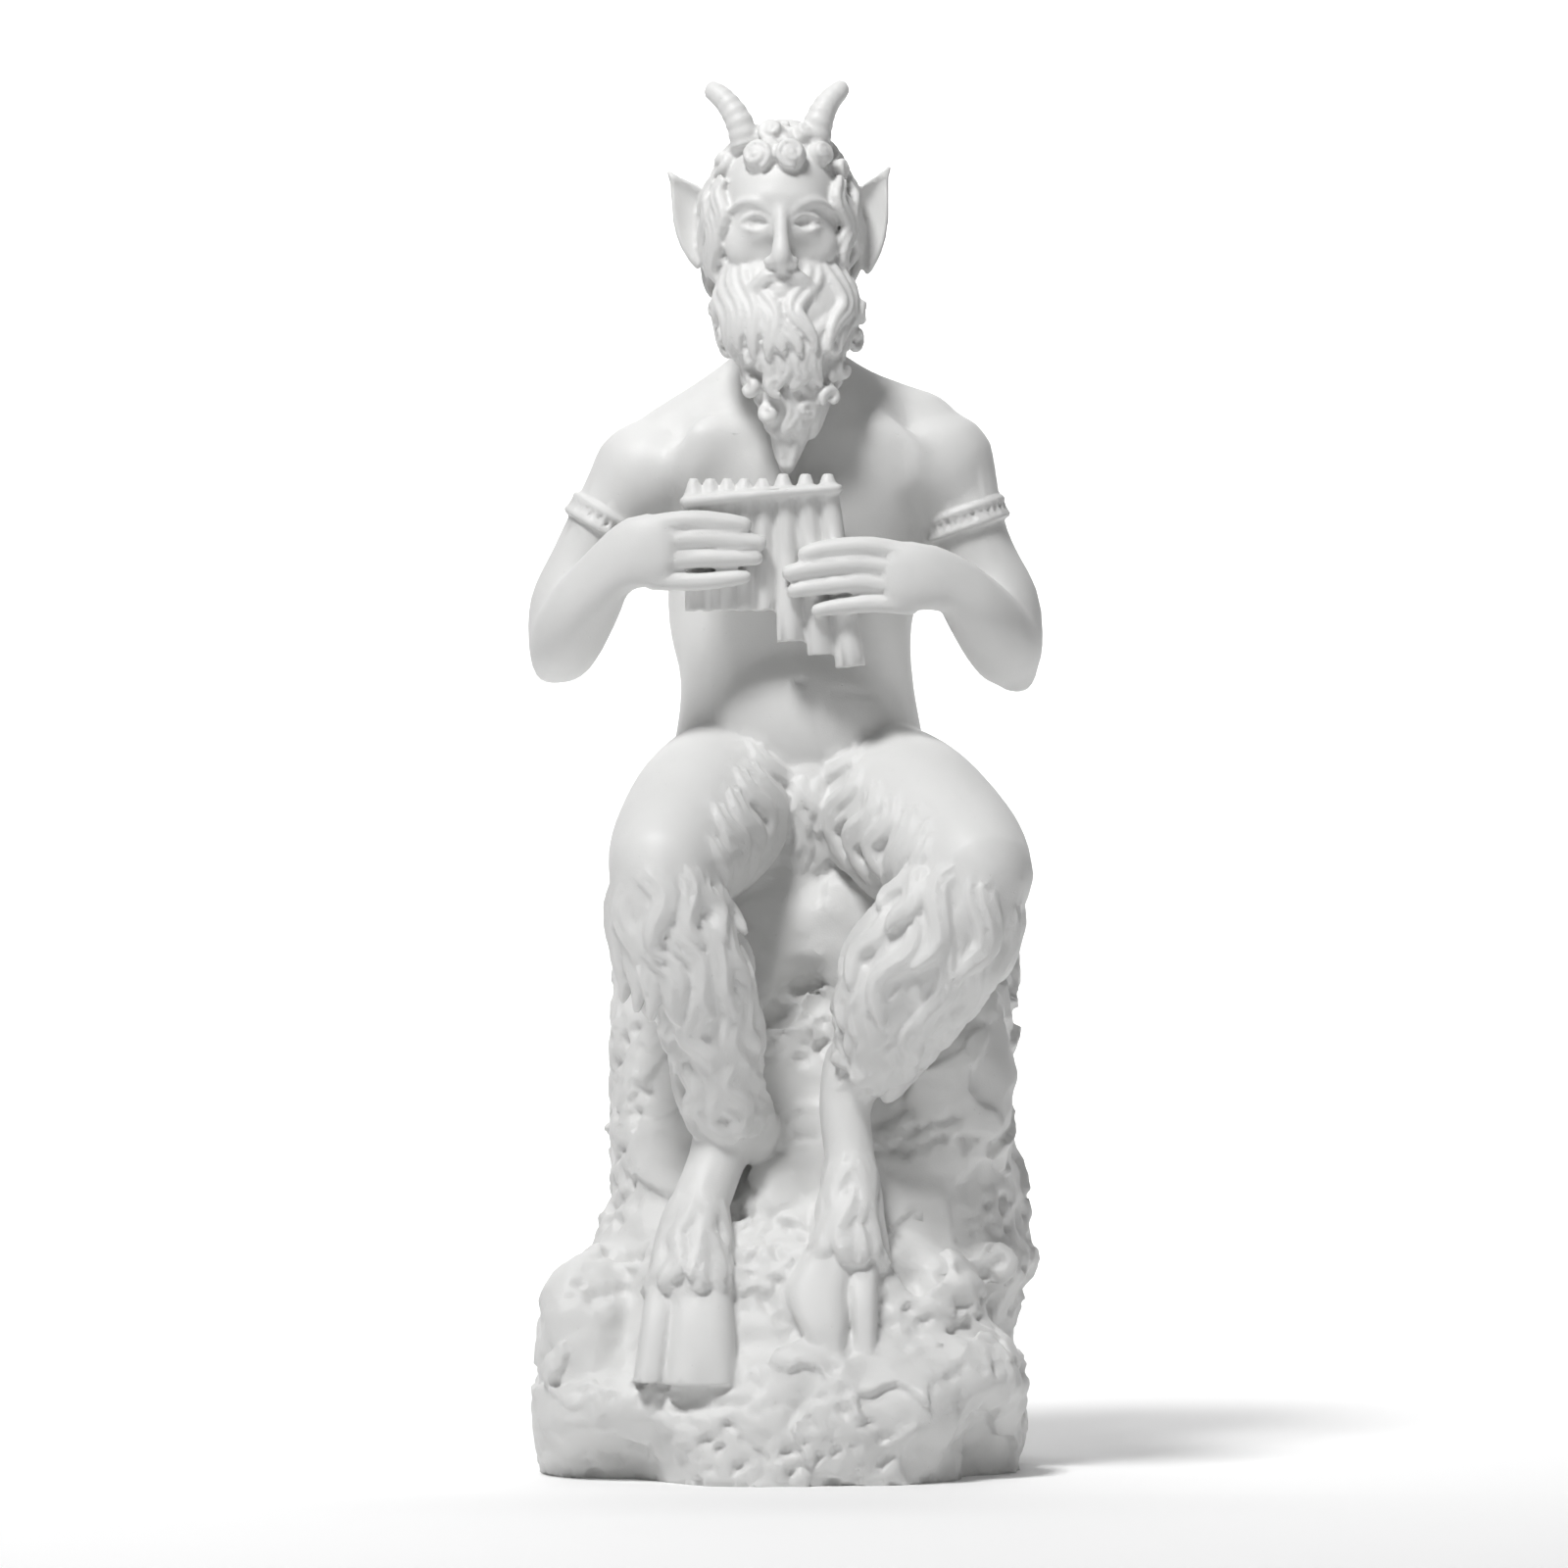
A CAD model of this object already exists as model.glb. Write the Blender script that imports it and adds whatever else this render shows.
# %% [markdown]
# # A seated Pan in cast marble
#
# This lesson models a tabletop statue: a horned, goat-legged piper on a rough rock, cast in one
# piece from marble powder and resin. A sculptor builds such a model in clay over several passes:
# round masses first, then creases filled with the thumb, then hair, fur and stone cut with a tool.
# The cells below follow the same passes. Every place is in millimetres of a 300 mm statue, and the
# finished mesh is scaled once, at the end, to the size of the solid that it stands for.

import math
import random

import bmesh
import bpy
import numpy as np
from mathutils import Matrix, Vector, noise


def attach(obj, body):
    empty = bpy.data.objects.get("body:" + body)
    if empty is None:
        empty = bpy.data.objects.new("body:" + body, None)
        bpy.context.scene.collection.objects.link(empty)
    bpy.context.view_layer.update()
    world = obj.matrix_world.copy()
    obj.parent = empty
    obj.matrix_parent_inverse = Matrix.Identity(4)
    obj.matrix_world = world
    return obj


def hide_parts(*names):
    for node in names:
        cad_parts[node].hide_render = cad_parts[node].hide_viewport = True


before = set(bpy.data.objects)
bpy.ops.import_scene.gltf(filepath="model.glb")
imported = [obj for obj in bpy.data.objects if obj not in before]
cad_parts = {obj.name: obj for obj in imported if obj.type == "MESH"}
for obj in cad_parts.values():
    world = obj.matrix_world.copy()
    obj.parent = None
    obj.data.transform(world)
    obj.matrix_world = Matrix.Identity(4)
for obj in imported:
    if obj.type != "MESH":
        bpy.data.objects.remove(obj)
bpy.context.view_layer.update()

STATUE_HEIGHT = 0.300
MM = STATUE_HEIGHT / 300.0
LEFT, RIGHT = -1, 1
FRONT = math.pi / 2

# %% [markdown]
# ## Clay limbs
#
# An arm, a leg or a torso is a closed tube whose round section swells and shrinks. It could be
# made with metaballs or a skin modifier, but a loft through a few named stations gives exact
# control of the outline, and it has a coordinate system of its own: how far along, and which way
# round. The fur will be combed in those coordinates.

# %% Smooth curves and lofts
def unit(v):
    return v / max(np.linalg.norm(v), 1e-12)


def smooth_row(rows, u):
    """The row at u, from 0 to 1, of a smooth curve through evenly spaced rows."""
    place = min(max(u, 0.0), 1.0) * (len(rows) - 1)
    i = min(int(place), len(rows) - 2)
    t = place - i
    a, b, c, d = (rows[min(max(k, 0), len(rows) - 1)] for k in (i - 1, i, i + 1, i + 2))
    return 0.5 * (2 * b + (c - a) * t + (2 * a - 5 * b + 4 * c - d) * t**2 + (3 * b - a - 3 * c + d) * t**3)


def loft(clay, rings):
    """Adds a closed body through the rings, with a flat fan over each end."""
    made = [[clay.verts.new(p) for p in ring] for ring in rings]
    count = len(rings[0])
    for below, above in zip(made, made[1:]):
        for k in range(count):
            clay.faces.new((below[k - 1], below[k], above[k], above[k - 1]))
    for ring, points in ((made[0], rings[0]), (made[-1], rings[-1])):
        pole = clay.verts.new(sum(np.array(p) for p in points) / count)
        for k in range(count):
            clay.faces.new((ring[k - 1], ring[k], pole))


def ring_of(centre, across, over, wide, high, sides):
    """Points round an ellipse that has its half axes across and over."""
    turn = [math.tau * k / sides for k in range(sides)]
    return [centre + across * wide * math.cos(a) + over * high * math.sin(a) for a in turn]


# %% A limb
class Limb:
    """A tapering body through stations of (x, y, z, half width, half depth)."""

    def __init__(self, stations, wide=(1, 0, 0), squareness=2.0):
        self.rows = np.array([s if len(s) == 5 else (*s, s[3]) for s in stations], float)
        self.wide = np.array(wide, float)
        self.power = 2.0 / squareness

    def at(self, u):
        row = smooth_row(self.rows, u)
        ahead = smooth_row(self.rows, min(u + 0.01, 1)) - smooth_row(self.rows, max(u - 0.01, 0))
        along = unit(ahead[:3])
        across = unit(self.wide - along * (self.wide @ along))
        return row[:3], along, across, np.cross(along, across), row[3], row[4]

    def skin(self, u, angle, lift=0.0):
        """A point of the surface and its outward normal."""
        centre, _, across, facing, half_width, half_depth = self.at(u)
        c, s = math.cos(angle), math.sin(angle)
        normal = unit(across * c / half_width + facing * s / half_depth)
        c = math.copysign(abs(c) ** self.power, c)
        s = math.copysign(abs(s) ** self.power, s)
        return centre + across * half_width * c + facing * half_depth * s + normal * lift, normal

    def add_to(self, clay, sides=24, rings=18):
        made = []
        for k in range(rings + 1):
            made.append([self.skin(k / rings, math.tau * j / sides)[0] for j in range(sides)])
        for end, order in ((0, 0), (1, -1)):
            centre, along, _, _, half_width, half_depth = self.at(end)
            outward = along if end else -along
            reach = min(half_width, half_depth)
            ring = np.array(made[order])
            for turn in (30, 60, 80):
                angle = math.radians(turn)
                cap = centre + (ring - centre) * math.cos(angle) + outward * reach * math.sin(angle)
                made.insert(len(made) if end else 0, list(cap))
        loft(clay, made)
        return self


def ball(clay, centre, radii, turn=(0, 0, 0)):
    """An ellipsoid. turn is in degrees about X, Y and Z."""
    spin = Matrix.Identity(4)
    for axis, degrees in zip("XYZ", turn):
        spin = Matrix.Rotation(math.radians(degrees), 4, axis) @ spin
    place = Matrix.Translation(Vector(centre)) @ spin @ Matrix.Diagonal((*radii, 1))
    bmesh.ops.create_uvsphere(clay, u_segments=32, v_segments=18, radius=1, matrix=place)


# %% [markdown]
# ## One skin, and a thumb to fill the creases
#
# Clay masses that overlap have to become one skin. A Boolean would leave hard creases and slivers;
# the voxel Remesh modifier gives one even skin. Then each vertex is drawn towards the
# middle of its neighbours, first only where the surface is hollow, which is what a thumb does to
# clay in a crease, and at the end a little everywhere.

# %% Remesh, read and smooth a mesh
def mesh_of(clay, name):
    bmesh.ops.recalc_face_normals(clay, faces=clay.faces[:])
    mesh = bpy.data.meshes.new(name)
    clay.to_mesh(mesh)
    clay.free()
    return mesh


def evaluated(mesh, name, add_modifiers):
    """The plain mesh that an object's modifiers make."""
    holder = bpy.data.objects.new(name, mesh)
    bpy.context.scene.collection.objects.link(holder)
    add_modifiers(holder)
    bpy.context.view_layer.update()
    made = bpy.data.meshes.new_from_object(holder.evaluated_get(bpy.context.evaluated_depsgraph_get()))
    bpy.data.objects.remove(holder)
    return made


def fused(mesh, voxel):
    def remesh(holder):
        step = holder.modifiers.new("one skin", "REMESH")
        step.mode = "VOXEL"
        step.voxel_size = voxel

    made = evaluated(mesh, "fused", remesh)
    print("one skin of", mesh.name, "has", len(made.vertices), "points")
    return made


def points_of(mesh):
    co = np.empty(len(mesh.vertices) * 3, np.float32)
    mesh.vertices.foreach_get("co", co)
    return co.reshape(-1, 3).astype(float)


def set_points(mesh, co):
    mesh.vertices.foreach_set("co", co.astype(np.float32).ravel())
    mesh.update()


def normals_of(mesh):
    vectors = np.empty(len(mesh.vertices) * 3, np.float32)
    mesh.vertex_normals.foreach_get("vector", vectors)
    return vectors.reshape(-1, 3).astype(float)


# %% The thumb
def soften(mesh, fill_rounds, smooth_rounds):
    """Fills hollow creases, then smooths everywhere."""
    ends = np.empty(len(mesh.edges) * 2, np.int32)
    mesh.edges.foreach_get("vertices", ends)
    first, second = ends.reshape(-1, 2).T
    count = np.bincount(ends, minlength=len(mesh.vertices)).reshape(-1, 1)
    for step in range(fill_rounds + smooth_rounds):
        co = points_of(mesh)
        pull = np.zeros_like(co)
        for axis in range(3):
            pull[:, axis] = np.bincount(first, co[second, axis], len(co))
            pull[:, axis] += np.bincount(second, co[first, axis], len(co))
        pull = pull / count - co
        if step < fill_rounds:
            hollow = (pull * normals_of(mesh)).sum(1, keepdims=True) > 0
            pull = np.where(hollow, pull, 0.12 * pull)
        set_points(mesh, co + 0.55 * pull)


def push(mesh, centre, radii, depth, direction=None):
    """Moves the surface round a place outwards by depth, or along a direction."""
    co = points_of(mesh)
    away = (co - np.array(centre, float)) / np.array(radii, float)
    share = np.exp(-1.6 * (away**2).sum(1, keepdims=True))
    way = normals_of(mesh) if direction is None else unit(np.array(direction, float))
    set_points(mesh, co + way * share * depth)


# %% [markdown]
# ## The torso and the arms
#
# The figure sits upright, and its elbows hang out while both hands come up in front of the chest.
# Each mass has its own loft: a trunk, two upper arms, two forearms that flatten into the backs of
# the hands. Flat ellipsoids under the skin give the chest and the shoulder blades.

# %% Trunk, arms and hands
BODY_VOXEL = 1.0
TORSO = Limb(
    [
        (0.6, 5, 241, 9, 9),
        (1.0, 6, 236, 14, 10),
        (1.6, 7, 230, 24, 12.5),
        (2.2, 7.5, 222, 29, 15),
        (2.8, 7.5, 213, 29, 16.5),
        (2.8, 7.5, 203, 28, 17),
        (2.0, 8, 193, 27.3, 16.5),
        (1.6, 8.5, 184, 26.8, 15.5),
        (2.4, 9, 175, 25.4, 14.8),
        (2.9, 9.5, 167, 25.6, 15),
        (3.2, 10, 158, 27.0, 16.5),
        (3.2, 10, 148, 28.5, 18),
        (3.2, 10, 138, 28.5, 18.5),
        (3.2, 10, 130, 25, 17),
    ],
    squareness=2.35,
)
UPPER_ARMS = {
    LEFT: Limb(
        [
            (-31.0, 6, 215, 11.2),
            (-34.4, 6, 210, 9.8),
            (-39.0, 6, 203, 8.6),
            (-43.2, 6, 195, 8.2),
            (-47.0, 5, 186, 8.6),
            (-48.2, 4, 177, 7.6),
        ]
    ),
    RIGHT: Limb(
        [
            (34.6, 6, 217.5, 11.6),
            (37.0, 6, 211.5, 10.0),
            (39.6, 6, 204, 8.6),
            (42.6, 6, 196, 8.4),
            (46.8, 5, 187, 8.9),
            (48.6, 4, 178, 8.1),
        ]
    ),
}
SHOULDERS = {LEFT: (-29.2, 6, 214.2), RIGHT: (33.2, 6, 216.4)}
NECK_SLOPES = {
    LEFT: Limb([(-3, 6, 240, 6), (-13.6, 6.5, 230.6, 7), (-25.5, 7, 222.4, 7.6)]),
    RIGHT: Limb([(3, 6, 241, 6), (16, 6.5, 231, 7.4), (30.5, 7, 225.4, 7.8)]),
}
FOREARMS = {
    LEFT: Limb(
        [
            (-48.2, 4, 177, 7.6),
            (-46, -5, 181, 8.2),
            (-42, -12, 187.5, 7.6),
            (-37, -18, 194, 7.0, 5.0),
            (-31, -21.5, 197.5, 8.4, 3.8),
            (-25.5, -22.5, 197.3, 8.4, 3.0),
        ],
        wide=(0, 0, 1),
    ),
    RIGHT: Limb(
        [
            (48.4, 4, 176.5, 8.0),
            (46, -5, 180, 8.4),
            (41.5, -13, 185.5, 7.5),
            (36.5, -18, 190.5, 6.6, 5.0),
            (30, -21.5, 192, 7.8, 3.8),
            (23.5, -22.5, 192, 8.2, 3.0),
        ],
        wide=(0, 0, 1),
    ),
}
ELBOWS = {LEFT: (-50.5, 6, 173.6), RIGHT: (50.6, 6.5, 171.6)}
SHOULDER_RADII = (12.8, 12, 12.8)
BELLY = [((2.6, -1.2, 187), (15, 6, 16)), ((3.6, -4.4, 161), (18, 7.5, 15))]
NAVEL = (3.6, -9, 169.6)
SPINE = (2.6, 25, 200)
BREASTBONE = (2.6, -10, 212)
BELLY_CREASE = [(-7, 166.4, 0.35), (13, 167.6, 0.4), (17.5, 167.0, 0.5), (21.5, 167.2, 0.4)]


# %% Join and soften the torso
def add_body(clay):
    """The trunk, with flat masses under the skin for the chest, the back, the seat and the belly."""
    TORSO.add_to(clay, sides=48, rings=40)
    for centre, radii in BELLY:
        ball(clay, centre, radii)
    for side in (LEFT, RIGHT):
        NECK_SLOPES[side].add_to(clay)
        chest = (side * 13 + 3, -2.4, 217.5)
        shoulder_blade = (side * 13 + 2.5, 20.5, 216)
        buttock = (side * 12.5 + 3.2, 16, 138)
        ball(clay, SHOULDERS[side], SHOULDER_RADII)
        ball(clay, chest, (15.5, 4.2, 12), (8, 0, side * -16))
        ball(clay, shoulder_blade, (11.5, 5, 14), (-8, 0, side * 12))
        ball(clay, buttock, (14.5, 13, 13.5))


def add_arms(clay):
    for side in (LEFT, RIGHT):
        UPPER_ARMS[side].add_to(clay)
        FOREARMS[side].add_to(clay)
        ball(clay, ELBOWS[side], (4.6, 4.4, 4.6))


def torso_and_arms():
    clay = bmesh.new()
    add_body(clay)
    add_arms(clay)
    mesh = fused(mesh_of(clay, "torso"), BODY_VOXEL)
    soften(mesh, 34, 8)
    push(mesh, NAVEL, (1.3, 4, 1.3), -1.8)
    push(mesh, SPINE, (3, 8, 34), -1.6)
    push(mesh, BREASTBONE, (2.0, 8, 16), -0.6)
    for side in (LEFT, RIGHT):
        collar_bone, armpit = (side * 14 + 2, -9, 228), (side * 24 + 2, -6, 220)
        push(mesh, collar_bone, (9, 8, 3.5), -1.0)
        push(mesh, armpit, (3.5, 8, 9), -1.0)
    for x, z, depth in BELLY_CREASE:
        push(mesh, (x, -9, z), (3.2, 8, 0.9), -depth)
    return mesh


torso = torso_and_arms()
print("torso and arms are", np.ptp(points_of(torso), axis=0).round(1), "mm in size")

# %% [markdown]
# ## Locks and snail curls
#
# Hair that is carved, not grown, is a set of fat tufts that swell from the root and end in a
# point. A tuft is a bundle of three or four strands, each a tapering loft along the same wavy
# path. One strand wound round a point becomes a snail curl with a knob in its middle.

# %% Tufts and curls
def frame_along(points, normals, i):
    """The directions along, across and up from the surface at one point of a path."""
    along = unit(points[min(i + 1, len(points) - 1)] - points[max(i - 1, 0)])
    across = unit(np.cross(along, normals[i]))
    return along, across, np.cross(across, along)


def tuft(clay, points, normals, width, height, strands=3, gather=0.75, root=0.55):
    """A bundle of strands that lie side by side on a path and meet at its tip."""
    for j in range(strands):
        t = (2 * j - strands + 1) / strands
        rings = []
        for i, point in enumerate(points):
            s = i / (len(points) - 1)
            _, across, up = frame_along(points, normals, i)
            fullness = min(1.0, root + 2 * s) * math.sqrt(max(1 - s**3, 0.02))
            middle = point + across * t * width / 2 * (1 - gather * s * s) - up * 0.35 * height * t * t
            wide, high = 0.62 * width / strands * fullness, 0.5 * height * fullness
            rings.append(ring_of(middle, across, up, wide, high, 8))
        loft(clay, rings)


# height and share of the radius of the pad that a curl lies on
CURL_PAD = [(-3.2, 0.8), (-0.9, 0.9), (-0.35, 0.75), (-0.2, 0.2)]


def curl(clay, centre, normal, radius, thickness, turns=1.75, start=0.0, hand=1, knob=0.5, padded=True):
    """A snail curl: one strand wound inwards, with its inner end standing proud as a knob."""
    centre, normal = np.array(centre, float), unit(np.array(normal, float))
    side = unit(np.cross(normal, (0.13, 0.31, 0.94)))
    over = np.cross(normal, side)
    steps = int(turns * 18)
    points = []
    for i in range(steps + 1):
        s = i / steps
        angle = start + hand * math.tau * turns * s
        reach = (radius - thickness / 2) * (1 - 0.9 * s)
        lift = normal * 0.5 * thickness * s
        points.append(centre + (side * math.cos(angle) + over * math.sin(angle)) * reach + lift)
    tuft(clay, points, [normal] * len(points), thickness, thickness * 1.5, strands=1, root=0.6)
    if padded:
        pad = [(centre + normal * height, radius * share) for height, share in CURL_PAD]
        loft(clay, [ring_of(middle, side, over, reach, reach, 16) for middle, reach in pad])
    if knob:
        end, size = points[-1] - normal * 0.2, thickness * knob
        Limb([(*end, size), (*(end + normal * 0.3), size)]).add_to(clay, sides=10, rings=2)


# %% A tuft that lies on a limb
def draped_tuft(clay, limb, start, end, sway, phase, width, height, lift=0.0, beat=5.5, strands=3):
    """A wavy tuft that lies on a limb from start to end, each a pair of (u, angle)."""
    steps = 13
    points, normals = [], []
    girth = limb.at(start[0])[4]
    for i in range(steps + 1):
        s = i / steps
        swing = sway / girth * (math.sin(phase + beat * s) - math.sin(phase))
        rise = lift * s**1.5 - 0.25 * height * (1 - s)
        u = start[0] + (end[0] - start[0]) * s
        angle = start[1] + (end[1] - start[1]) * s + swing
        point, normal = limb.skin(min(u, 1.15), angle, rise)
        points.append(point)
        normals.append(normal)
    tuft(clay, points, normals, width, height, strands)


# %% [markdown]
# ## The head
#
# The face is a plain, calm one on the proportions that drawing books teach: the eyes half way
# between crown and chin, brow, nose and chin a third of the face apart, one eye's width between
# the eyes. A bare skull mass gets its sockets pressed in first, then eyelids, nose and
# brows are laid on as small lofts, as a sculptor lays on pellets and rolls of clay.

# %% Skull, sockets and features
FACE_VOXEL = 0.42
SKULL_CENTRE = (-0.6, -2.5, 271.5)
SKULL_RADII = (14.2, 17.5, 17.8)
CHIN_HEIGHT = 246.0
EYE_HEIGHT = 268.0
EYE_SPACING = 5.8
EYE_FRONT = -17.8
FACE_MIDDLE = -0.6


def bare_head():
    x, y, z = SKULL_CENTRE
    clay = bmesh.new()
    ball(clay, SKULL_CENTRE, SKULL_RADII)
    ball(clay, (x, y + 4.5, z - 1), (14.8, 15, 15.5))
    ball(clay, (x + 0.4, y + 8, z - 14), (16, 11, 15))
    Limb([
        (x, -4, 262, 12.2, 13.5),
        (x, -6.5, 254, 10.6, 11.8),
        (x, -9.0, CHIN_HEIGHT + 5, 7.4, 8.2),
    ]).add_to(clay)
    Limb([(1.0, 6, 238, 11.5, 11), (0.4, 3.5, 246, 10.6, 10.6), (-0.2, 2, 256, 10.6, 11)]).add_to(clay)
    for side in (LEFT, RIGHT):
        ball(clay, (x + side * 7.0, -13.0, 263.4), (5.4, 4.0, 5.6))
    mesh = fused(mesh_of(clay, "head"), 0.8)
    soften(mesh, 12, 5)
    for side in (LEFT, RIGHT):
        eye = (FACE_MIDDLE + side * EYE_SPACING, EYE_FRONT, EYE_HEIGHT + 0.3)
        push(mesh, eye, (4.6, 7, 2.9), 1.5, direction=(0, 1, 0))
        push(mesh, (FACE_MIDDLE + side * 12.5, -12, EYE_HEIGHT + 5), (4, 6, 5), -0.8)
        push(mesh, (FACE_MIDDLE + side * 5, -20, EYE_HEIGHT + 6.0), (5, 7, 2.0), 0.5)
    return mesh


NOSE = [
    (-18.2, 273.0, 1.8, 1.4),
    (-19.2, 269.4, 1.5, 1.8),
    (-20.6, 265, 1.7, 2.2),
    (-22.3, 260.8, 2.2, 2.4),
    (-21.4, 258.8, 2.0, 1.7),
]
BROW = [
    (2.4, -18.3, 271.6, 0.9, 1.1),
    (5.6, -18.2, 272.9, 0.95, 1.1),
    (8.8, -16.4, 272.6, 0.85, 1.0),
    (11.4, -13.7, 270.8, 0.5, 0.6),
]
EYE_RADIUS = 3.1


def add_features(clay):
    x = FACE_MIDDLE
    Limb([(x, *station) for station in NOSE]).add_to(clay, sides=18)
    for side in (LEFT, RIGHT):
        eyeball = (x + side * EYE_SPACING, EYE_FRONT + EYE_RADIUS - 0.2, EYE_HEIGHT)
        ball(clay, eyeball, (EYE_RADIUS,) * 3)
        brow = [(x + side * out, *rest) for out, *rest in BROW]
        Limb(brow, wide=(0, 0, 1)).add_to(clay, sides=12)
        ball(clay, (x + side * 2.4, -20.8, 259.6), (1.5, 1.9, 1.35))
    ball(clay, (x, -18.0, 256.4), (3.6, 2.8, 2.6))
    for sign, height, thick in ((0.95, 254.4, 0.9), (-0.95, 252.5, 1.15)):
        half = [(-4.3, -18.8, 253.5, 0.45), (-2.2, -20.3, height, 0.85 * thick)]
        other_half = [(-a, b, c, d) for a, b, c, d in reversed(half)]
        lip = [*half, (0, -20.9, height - sign * 0.25, thick), *other_half]
        Limb([(x + a, b, c, d) for a, b, c, d in lip], wide=(0, 0, 1)).add_to(clay, sides=12)


# %% Eyelids, and the whole face
LID_THICKNESS = 1.15
LID_HALF_WIDTH = 3.2
LID_OPENING = (1.1, 1.5)
LID_CREASE = 2.9


def part_lids(mesh, side):
    """Lays the lids over the eyeball: all the skin round an almond opening comes forward."""
    co = points_of(mesh)
    across = (co[:, 0] - FACE_MIDDLE - side * EYE_SPACING) / LID_HALF_WIDTH
    up = co[:, 2] - EYE_HEIGHT
    below, above = (opening * (1 - across**2) for opening in LID_OPENING)
    outside = np.maximum(up - above, -below - up)
    lid = np.clip((outside + 0.08) / 0.22, 0, 1)
    near = np.exp(-(((across / 1.35) ** 2 + (up / 4.2) ** 2) ** 2)) * (co[:, 1] < -10)
    fold = (up - LID_CREASE * (1 - 0.5 * across**2)) / 0.5
    crease = np.exp(-(fold**2)) * (np.abs(across) < 1.15)
    co[:, 1] -= near * (LID_THICKNESS * lid - 0.6 * crease)
    set_points(mesh, co)


def head_with_face():
    clay = bmesh.new()
    add_features(clay)
    clay.from_mesh(bare_head())
    mesh = fused(mesh_of(clay, "face"), FACE_VOXEL)
    soften(mesh, 7, 2)
    for side in (LEFT, RIGHT):
        part_lids(mesh, side)
        iris = (FACE_MIDDLE + side * EYE_SPACING, EYE_FRONT, EYE_HEIGHT + 0.2)
        nostril = (FACE_MIDDLE + side * 1.5, -21.4, 258.4)
        push(mesh, iris, (0.8, 2, 0.8), -0.8)
        push(mesh, nostril, (0.7, 1.2, 0.7), -0.6)
    return mesh


face = head_with_face()
print("the bare head is", np.ptp(points_of(face), axis=0).round(1), "mm in size")

# %% [markdown]
# ## Horns and ears
#
# The horns are short, blunt and ringed. The ears are goat's ears: long, pointed and cupped
# towards the front, with a wall of even thickness. Both are lofts whose section changes by rule.

# %% Ringed horns and cupped ears
HORNS = {
    LEFT: Limb([
        (-8.2, -8.5, 285.5, 3.3),
        (-9.6, -8.6, 290.3, 3.0),
        (-12.0, -7.6, 294.4, 2.6),
        (-14.6, -6.2, 297.0, 2.3),
        (-16.4, -5.0, 297.9, 1.9),
    ]),
    RIGHT: Limb([
        (6.4, -8.5, 285.5, 3.6),
        (7.4, -8.6, 290.3, 3.2),
        (9.2, -7.6, 294.4, 2.7),
        (11.8, -6.2, 297.4, 2.2),
        (13.2, -5.2, 298.4, 1.7),
    ]),
}
# tip and lobe
EARS = {
    LEFT: ((-25.2, -3.0, 280.4), (-15.6, -3.2, 261.5)),
    RIGHT: ((22.9, -3.0, 281.4), (14.8, -3.2, 260.0)),
}
EAR_HALF_WIDTH = 5.4
EAR_CUP = 2.2
EAR_WALL = 2.4
EAR_RIM = 0.75
HORN_RINGS = 8.5
HORN_RING_HEIGHT = 0.035


def add_horn(clay, horn):
    steps, sides = 90, 24
    rings = []
    for i in range(steps + 1):
        u = i / steps
        centre, _, across, facing, radius, _ = horn.at(u)
        size = radius * (1 + HORN_RING_HEIGHT * math.sin(math.tau * HORN_RINGS * u) * (1 - u**3))
        if u > 0.9:
            size *= math.sqrt(max(0.02, 1 - ((u - 0.9) / 0.1) ** 2))
        rings.append(ring_of(centre, across, facing, size, size, sides))
    loft(clay, rings)


def add_ear(clay, side, tip, lobe):
    tip, lobe = np.array(tip, float), np.array(lobe, float)
    along = unit(tip - lobe)
    across = unit(np.cross(along, (0, -side, 0)))
    back = np.array((0, 1, 0))
    steps, edge = 30, 15
    spread = [-1 + 2 * k / (edge - 1) for k in range(edge)]
    rings, rim = [], {-1: [], 1: []}
    for i in range(steps + 1):
        s = i / steps
        centre = lobe + (tip - lobe) * s - across * 1.6 * math.sin(math.pi * s)
        half = EAR_HALF_WIDTH * math.sin(math.pi * min(1, 0.16 + 0.84 * s)) ** 0.7 * (1 - s**3) + 0.3
        cup = EAR_CUP * math.sin(math.pi * min(s + 0.1, 1)) ** 0.6
        wall = EAR_WALL * (1 - 0.45 * s)
        behind = [centre + across * half * t + back * (cup * (1 - t * t) + wall) for t in spread]
        before = [centre + across * half * t + back * cup * (1 - t * t) for t in reversed(spread)]
        rings.append(behind + before)
        for edge_side, stations in rim.items():
            place = centre + across * half * edge_side + back * wall * 0.4
            stations.append((*place, EAR_RIM * (1 - 0.8 * s**3)))
    loft(clay, rings)
    for stations in rim.values():
        Limb(stations, wide=(0, 1, 0)).add_to(clay, sides=10, rings=40)


# %% [markdown]
# ## Hair and beard
#
# Two big snail curls meet over the brow, and smaller ones cover the crown and the back. Wavy
# locks frame the face down to the beard, which hangs in hooked curls and ends in a thin point on
# the chest. A particle system could grow hair, but it wouldn't look carved, so every lock is a
# solid roll placed on the head by rule, with a seeded wobble.

# %% Hair
BROW_CURLS = [
    # x, z, how far it stands out, radius, thickness, turns, winding
    (-12.0, 281.6, 1.4, 3.2, 1.7, 1.2, -1),
    (-5.2, 281.8, 2.0, 3.9, 1.3, 1.9, 1),
    (1.2, 282.0, 2.2, 3.9, 1.3, 1.9, -1),
    (7.2, 282.6, 1.8, 3.0, 1.3, 1.6, 1),
    (11.4, 280.0, 1.4, 2.9, 1.4, 1.4, -1),
    (-8.6, 285.6, 1.6, 3.2, 1.5, 1.4, 1),
    (-2.4, 286.4, 2.4, 3.4, 1.4, 1.6, -1),
    (4.0, 286.4, 2.0, 3.3, 1.4, 1.6, 1),
]
CURL_THICKNESS = 1.9
CROWN_CURLS = 92


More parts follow.
